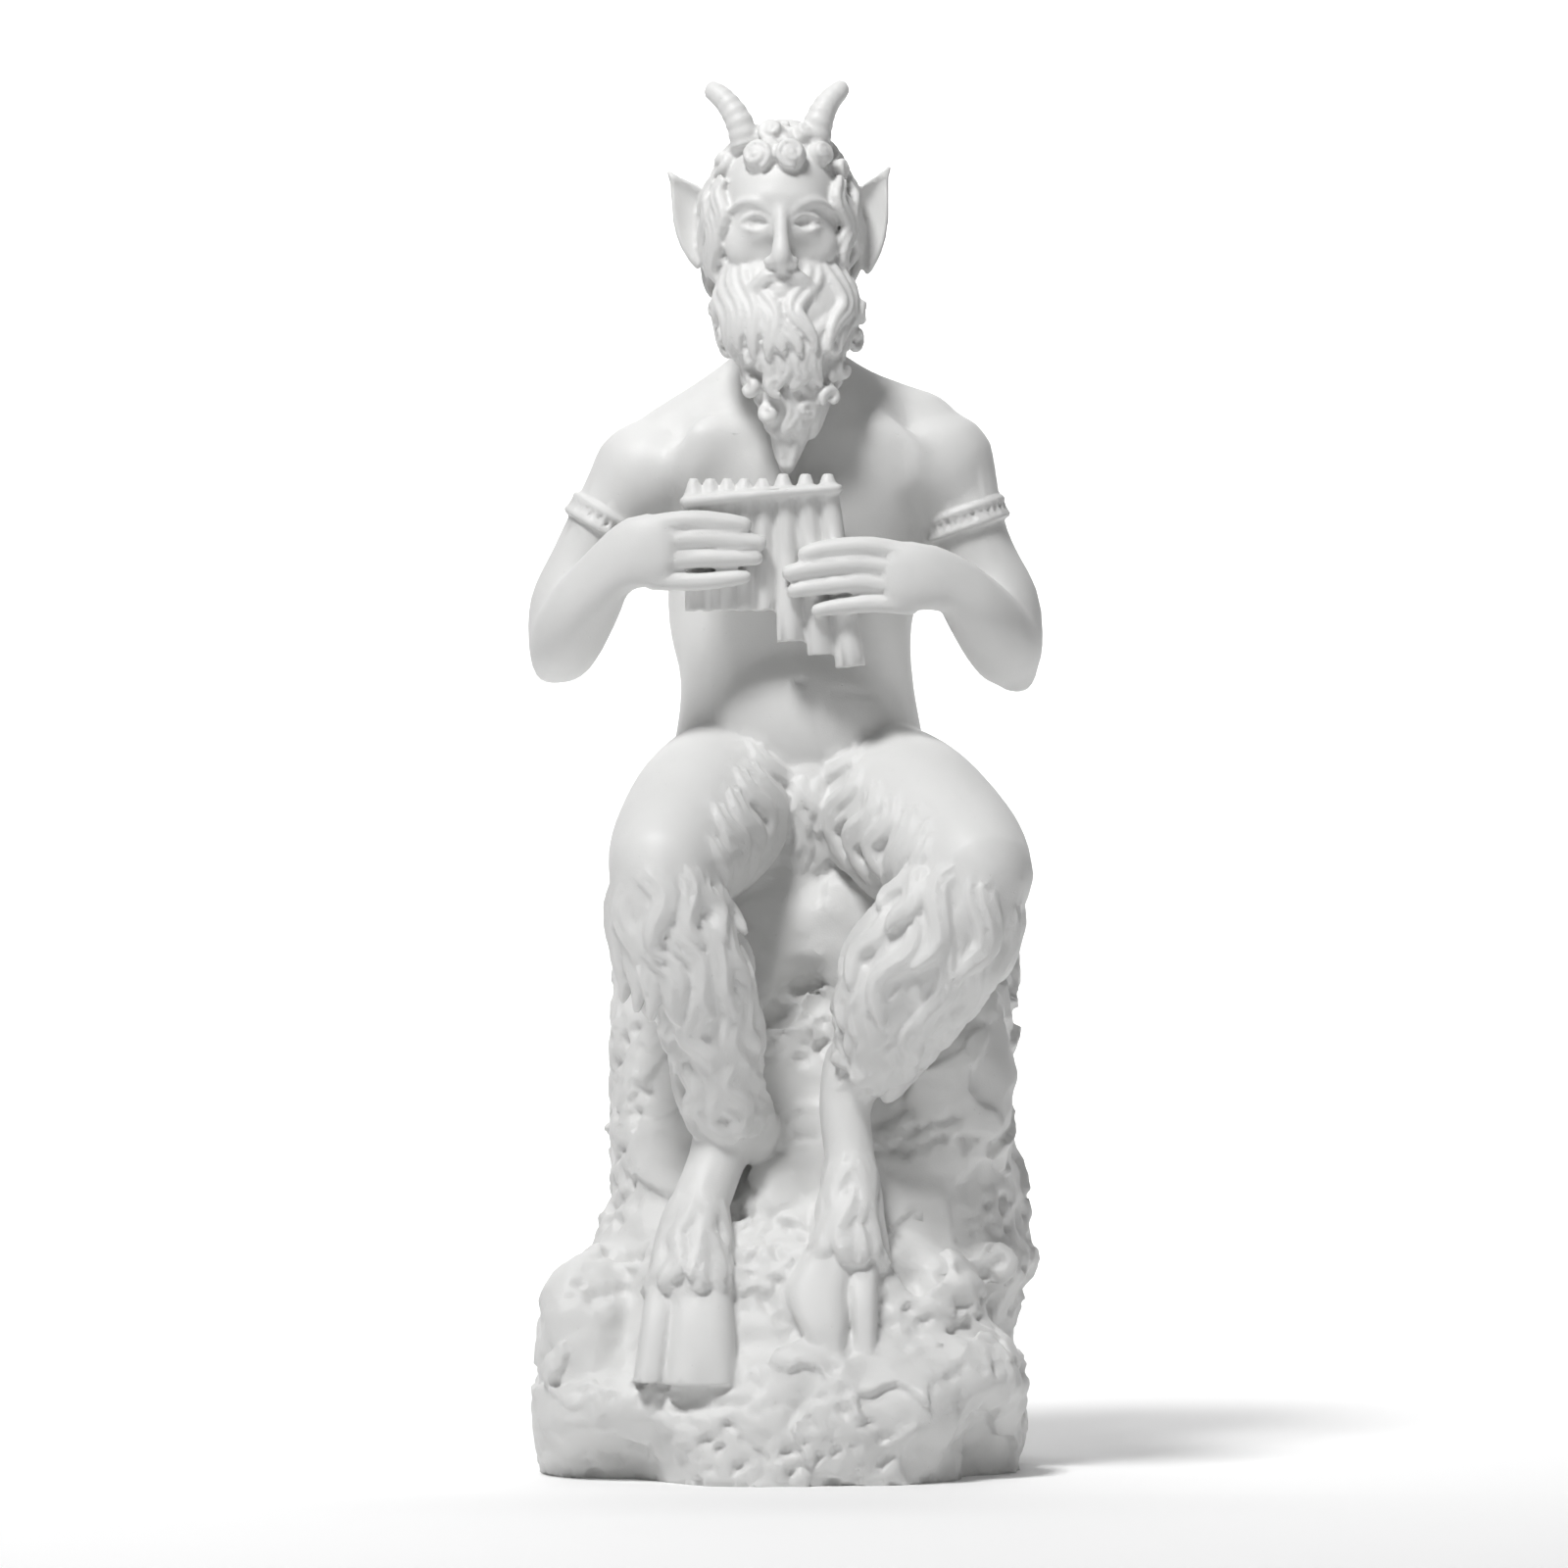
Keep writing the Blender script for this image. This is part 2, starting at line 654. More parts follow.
def on_skull(x, z, proud):
    """The point of the skull at a place in the front view, moved outwards, and the outward normal."""
    (cx, cy, cz), (wide, deep, high) = SKULL_CENTRE, SKULL_RADII
    depth = math.sqrt(max(1 - ((x - cx) / wide) ** 2 - ((z - cz) / high) ** 2, 0.02))
    normal = unit(np.array(((x - cx) / wide**2, -depth / deep, (z - cz) / high**2)))
    return np.array((x, cy - deep * depth, z)) + normal * proud, normal


def add_crown(clay):
    """Snail curls over the brow, looser ones over the rest of the head."""
    head = np.array(SKULL_CENTRE)
    for x, z, proud, radius, thickness, turns, hand in BROW_CURLS:
        centre, normal = on_skull(x, z, proud)
        curl(clay, centre, normal * (1, 1.5, 0.6), radius, thickness, turns, start=2.0, hand=hand, knob=0.6)
    chance = random.Random(5)
    golden = math.pi * (3 - math.sqrt(5))
    for k in range(CROWN_CURLS):
        up = 1 - 1.62 * (k + 0.5) / CROWN_CURLS
        around = golden * k
        flat = math.sqrt(1 - up * up)
        way = np.array((flat * math.cos(around), flat * math.sin(around), up))
        if way[1] < -0.28 and way[2] < 0.7:
            continue
        centre = head + (0, 1.2, 0) + way * (np.array(SKULL_RADII) + (1.0, 1.2, 0.8))
        radius, turns = chance.uniform(3.4, 4.2), chance.uniform(1.0, 1.4)
        start, hand = chance.uniform(0, 6), chance.choice((-1, 1))
        curl(clay, centre, way, radius, CURL_THICKNESS, turns, start, hand, knob=0)


# %% Locks at the sides
SIDE_LOCKS = 30
SIDE_LOCK_START = -0.66
SIDE_LOCK_STEP = 0.11


def add_side_locks(clay):
    """Wavy tufts from the temples back past the ears, and down to the beard and the nape."""
    chance = random.Random(11)
    for side in (LEFT, RIGHT):
        for k in range(SIDE_LOCKS):
            around = SIDE_LOCK_START + SIDE_LOCK_STEP * k
            start = 278.5 - 1.8 * (k % 3) - (4 if k > 12 else 0)
            x = FACE_MIDDLE + side * 14.6 * math.cos(around)
            y = -0.5 + 16.2 * math.sin(around)
            length = chance.uniform(17, 22) if y < 4 else chance.uniform(19, 26)
            phase = chance.uniform(0, 6)
            way = np.array((side * math.cos(around), math.sin(around), 0.0))
            sideways = np.array((-way[1], way[0], 0.0))
            points = []
            for i in range(16):
                s = i / 15
                out = 1.0 + 1.8 * math.sin(math.pi * s) - (1.0 * s if y > 4 else 0)
                base = np.array((x, y, start - length * s))
                points.append(base + way * out + sideways * 1.6 * math.sin(phase + 9.5 * s))
            tuft(clay, points, [way] * 16, 3.6, 3.0, strands=2)


# %% [markdown]
# ## The beard
#
# A core holds the mass. Four tiers of locks hang on it like shingles, so each hides the roots of
# the next, and small open rolls hook out at its edges. The moustache sweeps over the top tier.

# %% Beard
BEARD = Limb(
    [
        (-0.4, -8, 259, 13.5, 9),
        (0.0, -10.5, 252, 15.0, 9.3),
        (0.6, -12, 246, 13.6, 10.2),
        (1.6, -13, 240, 10.4, 9.2),
        (1.8, -12.6, 234, 8.6, 7.6),
        (1.9, -12.6, 228, 6.8, 6.4),
        (1.2, -12.8, 222, 4.0, 4.2),
        (0.6, -14.0, 215.5, 1.3, 1.8),
    ]
)
BEARD_HOOKS = [
    # x, y, z, radius, winding
    (-6.6, -19.6, 238.6, 2.6, 1),
    (-7.2, -17.4, 232.6, 2.3, -1),
    (10.4, -18.6, 242.6, 2.7, -1),
    (12.4, -15.8, 237.0, 2.6, 1),
    (9.8, -18.2, 230.6, 2.6, -1),
    (-1.4, -20.8, 233.2, 2.5, -1),
    (4.4, -20.8, 235.4, 2.5, 1),
    (-3.0, -18.4, 227.4, 2.3, 1),
    (4.6, -18.8, 227.8, 2.4, 1),
    (-14.6, -11.0, 249.6, 2.9, 1),
    (-12.8, -13.0, 243.6, 2.6, -1),
    (16.2, -10.4, 250.0, 3.0, -1),
    (15.2, -12.2, 243.8, 2.8, 1),
]
BEARD_TIERS = [
    # start and end along the beard, count, width, height, lift of the tips
    (0.02, 0.42, 12, 4.8, 3.6, 2.6),
    (0.28, 0.60, 9, 4.6, 3.6, 2.2),
    (0.54, 0.86, 6, 4.2, 3.2, 1.2),
    (0.70, 1.06, 4, 3.0, 2.6, 0.2),
]
MOUSTACHE = [
    (0.9, -20.9, 257.0),
    (3.4, -20.7, 256.4),
    (6.0, -19.6, 253.8),
    (7.8, -19.2, 249.8),
    (10.4, -19.0, 246.4),
]


def add_beard(clay):
    """Tiers of wavy locks over a core, a few of them hooked."""
    BEARD.add_to(clay, sides=32, rings=30)
    chance = random.Random(3)
    for tier, (begin, end, count, width, height, lift) in enumerate(BEARD_TIERS):
        for k in range(count):
            angle = math.pi * (k + 0.5) / count * 1.2 - 0.1 * math.pi
            bare_lip = tier == 0 and abs(angle - FRONT) < 0.42
            start = begin + (0.15 if bare_lip else chance.uniform(-0.02, 0.04))
            sway = 2.0 * math.copysign(1, math.sin(3.1 * angle + 1.7 * tier)) + chance.uniform(-0.6, 0.6)
            drift = 0.25 * (FRONT - angle) * (1 if tier else 0.3)
            finish = (end + chance.uniform(-0.03, 0.03), angle + drift)
            size = width * chance.uniform(0.85, 1.15)
            phase = 1.2 + chance.uniform(-0.5, 0.5)
            root = (start, angle)
            draped_tuft(clay, BEARD, root, finish, sway, phase, size, height, lift, beat=6.5, strands=2)
    for x, y, z, radius, hand in BEARD_HOOKS:
        turn = chance.uniform(0, 6)
        outward = (x - 1, y + 8, 0.5)
        curl(clay, (x, y, z), outward, radius + 0.7, CURL_THICKNESS, 1.05, turn, hand, knob=0, padded=False)
    add_moustache(clay)


def add_moustache(clay):
    """Two tufts that sweep from under the nose into the beard."""
    for side in (LEFT, RIGHT):
        rail = np.array([(FACE_MIDDLE + side * a, b, c) for a, b, c in MOUSTACHE])
        points = [smooth_row(rail, i / 16) for i in range(17)]
        outward = [np.array((side * 0.35, -1, 0.1))] * 17
        tuft(clay, points, outward, 3.4, 2.0, strands=3, gather=0.4)


# %% [markdown]
# ## Goat legs
#
# Thigh, shin and the long cannon bone above the hoof are three lofts a side. The fur isn't
# separate: it is the same clay, combed with a tool into wavy ribbons that overlap like
# shingles. So it is a height map in the limb's own coordinates. Each ribbon is a lane round the
# limb, the lanes sway as they run down, and each lock rises slowly and drops at its tip.

# %% Leg masses
THIGHS = {
    LEFT: Limb([
        (-11, 14, 146, 16),
        (-13, 2, 145.5, 17.2, 16),
        (-18.2, -12, 140.5, 16.2),
        (-23.2, -26, 134.5, 14.0),
        (-25.6, -36, 130, 12.2),
    ]),
    RIGHT: Limb([
        (18, 14, 146, 16),
        (22.3, 2, 145.0, 17.4, 16),
        (29.0, -12, 140, 16.8),
        (36.8, -26, 133.5, 14.8),
        (40.6, -36, 129, 12.8),
    ]),
}
SHINS = {
    LEFT: Limb([
        (-25.6, -36, 130, 11.6),
        (-24.4, -36.5, 119, 12.0, 11),
        (-19.0, -34.5, 107, 11.6, 11),
        (-15.4, -31, 95, 9.4, 10),
        (-13.8, -27.5, 84, 8.4, 9.2),
        (-11.6, -24.5, 75.5, 7.4, 8.4),
    ]),
    RIGHT: Limb([
        (40.6, -36, 128.5, 12.2),
        (35.4, -36.5, 118, 14.2, 12),
        (27.6, -34, 107, 14.4, 12.4),
        (23.2, -30, 98, 12.2, 11.6),
        (20.0, -26.5, 91, 9.0, 9.6),
        (14.6, -24.5, 84, 6.4, 7.4),
    ]),
}
CANNONS = {
    LEFT: Limb([
        (-11.8, -22, 78, 6.8, 8.2),
        (-14.5, -26.5, 67, 6.2, 6.6),
        (-18.0, -31, 57.5, 6.4, 6.6),
        (-19.2, -35, 48.5, 7.4, 7.4),
        (-20, -38.5, 39.5, 8.4, 8.4),
    ]),
    RIGHT: Limb([
        (14.0, -22.5, 88, 5.8, 7.2),
        (13.0, -25, 78, 5.6, 6.2),
        (14.2, -28.5, 66, 5.5, 6),
        (13.8, -32, 55.5, 6.4, 6.8),
        (13.0, -34, 46, 8.0, 8.2),
    ]),
}


def leg_masses():
    clay = bmesh.new()
    for side in (LEFT, RIGHT):
        for limb in (THIGHS[side], SHINS[side], CANNONS[side]):
            limb.add_to(clay, sides=28)
    ball(clay, (-4.6, -21.5, 72), (3.6, 5, 6.5), (0, 24, 0))
    mesh = fused(mesh_of(clay, "legs"), 1.0)
    soften(mesh, 10, 4)
    clay = bmesh.new()
    clay.from_mesh(mesh)
    return fused(mesh_of(clay, "legs fine"), 0.5)


# %% Fur as a height map
def scatter(index, seed):
    """A number from 0 to 1 that looks random, the same every time for the same lane."""
    return np.modf(np.abs(np.sin(index * 127.1 + seed * 311.7) * 43758.5453))[0]


def along_and_around(co, limb, samples=140):
    """Where points lie on a limb: millimetres along, angle, and distance over radius."""
    stations = [limb.at(i / (samples - 1)) for i in range(samples)]
    centre, along, across, facing = (np.array([s[k] for s in stations]) for k in range(4))
    wide, deep = (np.array([s[k] for s in stations]) for k in (4, 5))
    travelled = np.concatenate(([0], np.cumsum(np.linalg.norm(np.diff(centre, axis=0), axis=1))))
    near = np.empty(len(co), int)
    for begin in range(0, len(co), 20000):
        part = co[begin : begin + 20000]
        near[begin : begin + 20000] = (((centre**2).sum(1)) - 2 * part @ centre.T).argmin(1)
    offset = co - centre[near]
    past_end = (offset * along[near]).sum(1)
    x, y = (offset * across[near]).sum(1), (offset * facing[near]).sum(1)
    ratio = np.hypot(x / wide[near], y / deep[near]) + np.abs(past_end) / 20
    return travelled[near] + past_end, np.arctan2(y, x), ratio


def combed(distance, around, width, length, sway, seed):
    """Height from 0 to 1 of wavy locks, each with three strands, that overlap downwards."""
    wander = np.sin(math.tau * distance / (0.8 * length) + 2.2 * np.sin(around / 5 + seed) + seed)
    lane = (around + sway * wander) / width
    index = np.floor(lane)
    across = 2 * np.abs(lane - index - 0.5)
    step = distance / length + scatter(index, seed) - 0.35 * across**2
    rise = step - np.floor(step)
    crest = 1 - across**2.2
    strand = np.abs(np.cos(math.pi * 3 * (lane - index - 0.5)))
    return crest * (0.3 + 0.7 * rise**0.8) * (0.7 + 0.3 * strand)


# %% Comb the legs
FUR_DEPTH = 1.6
FUR_SINK = 1.0
FUR_LANE, FUR_LOCK, FUR_SWAY = 6.0, 18.0, 1.8


def combed_legs():
    mesh = leg_masses()
    co = points_of(mesh)
    nearest = np.full(len(co), 9.0)
    height, share = np.zeros(len(co)), np.zeros(len(co))
    for side in (LEFT, RIGHT):
        for part, limb in enumerate((THIGHS[side], SHINS[side], CANNONS[side])):
            distance, angle, ratio = along_and_around(co, limb)
            inner = 0.5 - 0.5 * side * np.cos(angle)
            if part == 0:
                low = np.clip(0.6 - np.sin(angle), 0, 1)
                fur = combed(angle * 15, distance, FUR_LANE, FUR_LOCK, FUR_SWAY, 1.3 + side)
                furred = np.clip(inner * low * 1.4, 0.04, 1)
            elif part == 1:
                fur = combed(distance, angle * 11, FUR_LANE, FUR_LOCK, FUR_SWAY, 4.1 + side)
                furred = np.clip((distance - 1) / 16, 0.03, 1) * np.clip((58 - distance) / 6, 0.0, 1)
            else:
                fur = combed(distance, angle * 7, 3.0, 14.0, 0.9, 2.2 + side)
                furred = 0.10 + 0.5 * np.clip((distance - 24) / 9, 0, 1)
            here = ratio < nearest
            nearest = np.where(here, ratio, nearest)
            height, share = np.where(here, fur, height), np.where(here, furred, share)
    moved = share * (height * FUR_DEPTH - FUR_SINK)
    set_points(mesh, co + normals_of(mesh) * moved[:, None])
    return mesh


legs = combed_legs()
print("the legs are", np.ptp(points_of(legs), axis=0).round(1), "mm in size")

# %% [markdown]
# ## Tufts over the combing
#
# The combed ground gives the fur its nap, but real carving has tufts that stand proud, overlap
# and curl at the tip. They hang in tiers like shingles: from the inner thighs down, then round
# and round the shin, and as a fringe over each hoof.

# %% Tufts and fringes
SHIN_TIERS = 5
SHIN_TUFTS = 10
SHIN_FUR_END = {LEFT: 1.1, RIGHT: 0.94}
TUFT_WIDTH = 6.4
TUFT_HEIGHT = 4.4


def add_shin_tufts(clay, side, chance):
    """Overlapping tufts round the shin, each an S that swings with its neighbours."""
    shin = SHINS[side]
    for tier in range(SHIN_TIERS):
        u = 0.02 + 0.74 * tier / (SHIN_TIERS - 1)
        for k in range(SHIN_TUFTS):
            angle = math.tau * (k + 0.5 * (tier % 2) + chance.uniform(-0.18, 0.18)) / SHIN_TUFTS
            begin = u + chance.uniform(-0.03, 0.05) + 0.03 * math.sin(3 * angle)
            flow = math.sin(2 * angle + 1.7 * tier + side)
            sway = 1.6 + chance.uniform(-0.4, 0.5)
            drift = 0.14 * flow - (0.24 if side == RIGHT else 0.0)
            end = (min(u + chance.uniform(0.26, 0.36), SHIN_FUR_END[side]), angle + drift)
            size = TUFT_WIDTH * chance.uniform(0.85, 1.2)
            phase = 1.6 * tier + 1.3 * flow + chance.uniform(-0.4, 0.4)
            lift = chance.uniform(0.3, 2.2)
            draped_tuft(clay, shin, (begin, angle), end, sway, phase, size, TUFT_HEIGHT, lift, beat=8.5)


def draped_round(clay, limb, start, end, sway, phase, width, height, lift):
    """A tuft that runs round a limb and swings along it."""
    points, normals = [], []
    length = np.linalg.norm(limb.rows[-1][:3] - limb.rows[0][:3])
    for i in range(14):
        s = i / 13
        swing = sway / length * (math.sin(phase + 7.0 * s) - math.sin(phase))
        u = start[0] + (end[0] - start[0]) * s + swing
        angle = start[1] + (end[1] - start[1]) * s
        rise = 0.6 + lift * s - 0.3 * height * (1 - s)
        point, normal = limb.skin(min(max(u, 0), 1), angle, rise)
        points.append(point)
        normals.append(normal)
    tuft(clay, points, normals, width, height)


def add_thigh_tufts(clay, side, chance):
    """Tufts that hang from the inner side of a thigh, round it rather than along it."""
    thigh = THIGHS[side]
    inward = 0.0 if side == LEFT else math.pi
    for row in range(4):
        for k in range(8):
            u = 0.2 + 0.1 * k + 0.05 * (row % 2) + chance.uniform(-0.02, 0.02)
            top = math.radians(66 - 36 * row - 5 * k + chance.uniform(-10, 10))
            drop = math.radians(chance.uniform(52, 70))
            start, end = inward - side * top, inward - side * (top - drop)
            sway = chance.uniform(1.6, 2.4)
            along = chance.uniform(0.02, 0.12)
            size, phase = chance.uniform(5.2, 7.0), 1.1 * row + chance.uniform(-0.6, 0.6)
            height, lift = 3.0 + 0.5 * row, 1.2 + 0.4 * row
            draped_round(clay, thigh, (u, start), (min(u + along, 1), end), sway, phase, size, height, lift)


def add_fringes(clay, side, chance):
    """Tufts that hang over the hoof in three tiers, the lowest ones the boldest."""
    cannon = CANNONS[side]
    for row, (u, length) in enumerate(((0.46, 0.34), (0.62, 0.36), (0.76, 0.38))):
        for k in range(10):
            angle = math.tau * (k + 0.5 * row + chance.uniform(-0.2, 0.2)) / 10
            sway = chance.uniform(0.6, 1.4) * chance.choice((-1, 1))
            end, phase = (u + length, angle), chance.uniform(0, 6)
            draped_tuft(clay, cannon, (u, angle), end, sway, phase, 4.6, 2.6 + 0.8 * row, 0.9 + 0.6 * row)


def add_loose_tufts(clay):
    """Single tufts that break the outline: the hem of the left knee and the right hock."""
    hem = [(-34.5, -38, 112), (-31.5, -41, 110), (-28.5, -43, 108)]
    for x, y, z in hem:
        rail = np.array([
            (x, y, z + 8),
            (x - 0.6, y - 1, z),
            (x + 0.6, y - 0.6, z - 6),
            (x, y + 0.6, z - 11),
        ])
        tuft(clay, [smooth_row(rail, i / 10) for i in range(11)], [np.array((-0.3, -1, 0))] * 11, 4.4, 3.0)
    for k in range(6):
        x = 14.5 + 2.8 * k
        y = -37.5 + 0.05 * (k - 2) ** 2
        rail = np.array([(x + 1.5, y + 4, 101), (x, y + 0.6, 96), (x - 1.4, y + 1.4, 90 + 0.5 * k)])
        tuft(clay, [smooth_row(rail, i / 8) for i in range(9)], [np.array((0, -1, 0))] * 9, 3.4, 2.6, strands=2)


def add_tufts(clay):
    chance = random.Random(8)
    for side in (LEFT, RIGHT):
        add_shin_tufts(clay, side, chance)
        add_thigh_tufts(clay, side, chance)
        add_fringes(clay, side, chance)
    add_loose_tufts(clay)


def add_groin(clay):
    """The belly narrows into a low mound of fur that fills the fork of the thighs."""
    mound = Limb([
        (4.6, -5, 150, 10, 6),
        (5.0, -6.5, 143, 8, 6),
        (5.4, -6.5, 136, 7.5, 5),
        (5.6, -5, 128, 7, 4),
    ])
    mound.add_to(clay)
    chance = random.Random(4)
    for row in range(5):
        for k in range(7):
            angle = FRONT + (k - 3 + 0.5 * (row % 2)) * 0.42
            begin = 0.1 + 0.16 * row
            sway = chance.uniform(0.6, 1.4) * chance.choice((-1, 1))
            end, phase = (begin + 0.36, angle), chance.uniform(0, 6)
            draped_tuft(clay, mound, (begin, angle), end, sway, phase, 3.4, 2.4, 0.9)


# %% [markdown]
# ## Cloven hooves
#
# A goat's hoof is two claws side by side. Each is a squared column with straight walls that
# widens down to a flat sole. Rounded limbs would look like toes, so these rings stay level.

# %% Cloven hooves
# one claw is a list of (x, y, z, half width, half depth), from the coronet down to the sole
CLAWS = [
    [(-17.6, -37.5, 42, 6.2, 7.0), (-17.6, -41, 34, 7.0, 8.6), (-17.8, -44.8, 21.2, 8.1, 10.0)],
    [(-25.6, -37, 42, 3.4, 5.8), (-26.9, -40.6, 34, 3.3, 7.6), (-28.5, -44, 21.6, 3.3, 9.2)],
    [
        (9.6, -33.5, 48, 5.6, 7.4),
        (7.0, -37, 40, 6.9, 8.4),
        (8.3, -41.5, 32.5, 5.2, 7.8),
        (10.0, -44, 24.8, 2.7, 6.0),
    ],
    [(16.4, -33.5, 46, 3.6, 6.8), (16.8, -38.2, 37, 3.0, 7.6), (17.3, -42, 24.6, 2.3, 7.0)],
]
CLAW_SQUARENESS = 3.4


def add_hooves(clay):
    """Each hoof has two claws parted by a cleft. The rings are level, so the soles are flat."""
    for claw in CLAWS:
        rows = np.array(claw)
        rings = []
        for u in np.linspace(0, 1, 25):
            x, y, z, half_width, half_depth = smooth_row(rows, u)
            ring = []
            for angle in np.linspace(0, math.tau, 44, endpoint=False):
                c, s = math.cos(angle), math.sin(angle)
                c = math.copysign(abs(c) ** (2 / CLAW_SQUARENESS), c)
                s = math.copysign(abs(s) ** (2 / CLAW_SQUARENESS), s)
                ring.append((x + half_width * c, y + half_depth * s, z))
            rings.append(ring)
        loft(clay, rings)


# %% [markdown]
# ## The rock
#
# The seat is a squared block that steps forward into a low ledge under the hooves. It looks like
# travertine: tilted faces, soft crags, and pits of all sizes. The large faces are cut with cells
# whose edges are bent by noise, and the finer crags and pits come from fractal noise, which is
# how weathering works too: the same kind of bite at smaller and smaller sizes.

# %% Rock masses
ROCK_BLOCK = Limb(
    [
        (6.1, 15, 128, 36, 25),
        (6.3, 15, 122, 41, 28),
        (6.6, 15, 114, 43.6, 30),
        (6.9, 15, 103, 44.2, 31),
        (5.4, 15, 92, 43.6, 31),
        (4.8, 14, 80, 43.4, 32),
        (4.9, 13, 69, 43, 33),
        (7.0, 12, 59, 43.6, 34),
        (8.0, 11, 49, 44.6, 35),
        (5.6, 10, 39, 45.6, 36),
        (2.0, 6, 28, 46, 40),
        (2.0, 5, 14, 46, 41),
    ],
    squareness=3.8,
)
ROCK_BASE = Limb(
    [
        (-0.6, -5, 23, 44, 42),
        (-0.4, -5.4, 19, 50, 48),
        (-0.8, -5.6, 12, 52.5, 50.5),
        (-0.8, -5.4, 5, 52.5, 50.5),
        (-0.4, -4.6, -3, 50.5, 49.5),
    ],
    squareness=2.7,
)
ROCK_LUMPS = [
    # centre, radii and turn of the boulders that break the outline of the rock
    ((-36, -32, 12), (17, 17, 12), (0, 0, 0)),
    ((-46, 2, 20), (8, 22, 22), (0, 0, 0)),
    ((16, -42, 14), (26, 14, 12), (0, 0, 0)),
    ((38, -28, 18), (14, 18, 16), (0, 0, 0)),
    ((46, -4, 44), (9.5, 18, 9), (0, 0, 0)),
    ((30, -24, 36), (13, 14, 13), (0, 0, 0)),
    ((-2, -20, 46), (11, 11, 22), (0, 0, 0)),
    ((36, -14, 84), (14, 11, 28), (0, 0, 0)),
    ((4, -1, 115), (30, 14, 11.5), (0, -25, 0)),
]
LEFT_BOULDER = Limb([
    (-39, -14, 43, 6, 12),
    (-41.5, -16, 37, 9.5, 18),
    (-43, -18, 27, 10.5, 22),
    (-43.5, -18, 10, 11, 24),
], squareness=3)
UNDERCUTS = [
    # where the foot of the rock is bitten back: place, radii, depth and direction
    ((-36, -50, 1), (17, 18, 13), 13, (0.35, 1, 0)),
    ((48, -44, 2), (16, 18, 16), 11, (-0.5, 1, 0)),
    ((-14, -57, 30), (12, 12, 5), 3, (0, 1, 0)),
]
ROCK_CELL = 19.0
ROCK_RELIEF = 1.1
ROCK_SWELL = 1.6
ROCK_ROUGHNESS = 0.8
# Blender seeds its vector noise from the clock, so the rock sets its own seed
ROCK_SEED = 7
PIT_CELLS = (2.6, 5.2)
SEAT_SLOPE = 104.0
PITS = [
    # x, y, z, radius and depth of the hollows that show in the rock
    (-8.8, -24, 49.5, 3.6, 3.4),
    (28, -34, 41, 4.2, 4.2),
    (-29.5, -52, 8, 4.8, 4.6),
    (-40, -34, 38, 3.0, 2.4),
    (5.5, -14, 104, 6.0, 5.0),
    (-3.0, -13, 97, 5.0, 3.0),
    (55, -6, 39.0, 5.0, 4.0),
    (52, -14, 24.5, 5.0, 3.4),
    (3, -55, 14.5, 3.6, 2.2),
    (-22, -54, 20, 7, 4.0),
]


def rock_masses():
    clay = bmesh.new()
    ROCK_BLOCK.add_to(clay, sides=48, rings=40)
    ROCK_BASE.add_to(clay, sides=56, rings=16)
    LEFT_BOULDER.add_to(clay, sides=30)
    for centre, radii, turn in ROCK_LUMPS:
        ball(clay, centre, radii, turn)
    mesh = fused(mesh_of(clay, "rock"), 1.3)
    soften(mesh, 8, 2)
    clay = bmesh.new()
    clay.from_mesh(mesh)
    return fused(mesh_of(clay, "rock fine"), 0.75)


# %% [markdown]
# ## Crags and pits
#
# Every point of the rock's skin is moved out or in by a height worked out from its place. First
# comes the broken stone, as large tilted facets, and then the weather: ridges, layers and bites,
# which come in patches and leave smooth ground between them.

# %% Crags and pits
def under_seat(point):
    """Whether a point lies on the smooth slope between the thighs."""
    x, y, z = point
    return z > SEAT_SLOPE and y < 4 and abs(x - 5) < 20


def rock_relief(point):
    """How far a point of the rock stands out: a slow swell, tilted facets and a rough grain."""
    place = Vector(point) / ROCK_CELL
    bent = place + 0.45 * noise.noise_vector(place * 1.4)
    _, cells = noise.voronoi(bent)
    tilt = noise.noise_vector(cells[0] * 7.3)
    facet = 1.7 * (bent - cells[0]).dot(tilt) + 0.9 * noise.cell(cells[0] * 3.1)
    swell = noise.noise(place * 0.8)
    rough = noise.fractal(place * 2.2, 0.8, 2.1, 3)
    relief = ROCK_RELIEF * facet + ROCK_SWELL * swell + ROCK_ROUGHNESS * rough
    return relief * (0.35 if under_seat(point) else 1.0)


def weathering(point):
    """Crags, layers and clusters of small pits, with smooth patches left between them."""
    x, y, z = point
    place = Vector(point) / ROCK_CELL
    worn = min(max(0.35 + 2.0 * noise.noise(place * 1.3 + Vector((5, 1, 2))), 0), 1)
    if under_seat(point):
        worn *= 0.2
    crag = noise.ridged_multi_fractal(place * 3.4, 0.9, 2.2, 4, 0.9, 2.0) - 1.2
    bite = max(0.0, noise.noise(place * 6.5) - 0.12)
    ledge = noise.fractal(Vector((x / 30, y / 30, z / 5)), 0.8, 2.0, 2)
    pit = 0.0
    for size in PIT_CELLS:
        distances, cells = noise.voronoi(Vector((x, y, 1.5 * z)) / size)
        hollow = 0.3 + 0.2 * noise.cell(cells[0] * 5.3)
        pit += size * max(0.0, hollow - distances[0])
    return worn * (0.35 * crag - 4.0 * bite - 1.1 * pit) + 0.4 * ledge


def cut_rock():
    noise.seed_set(ROCK_SEED)
    mesh = rock_masses()
    for centre, radii, depth, direction in UNDERCUTS:
        push(mesh, centre, radii, depth, direction)
    co = points_of(mesh)
    moved = np.array([rock_relief(point) + weathering(point) for point in co])
    set_points(mesh, co + normals_of(mesh) * moved[:, None])
    for x, y, z, radius, depth in PITS:
        push(mesh, (x, y, z), (radius,) * 3, -depth)
    return mesh


rock = cut_rock()
print("the rock is", np.ptp(points_of(rock), axis=0).round(1), "mm in size")

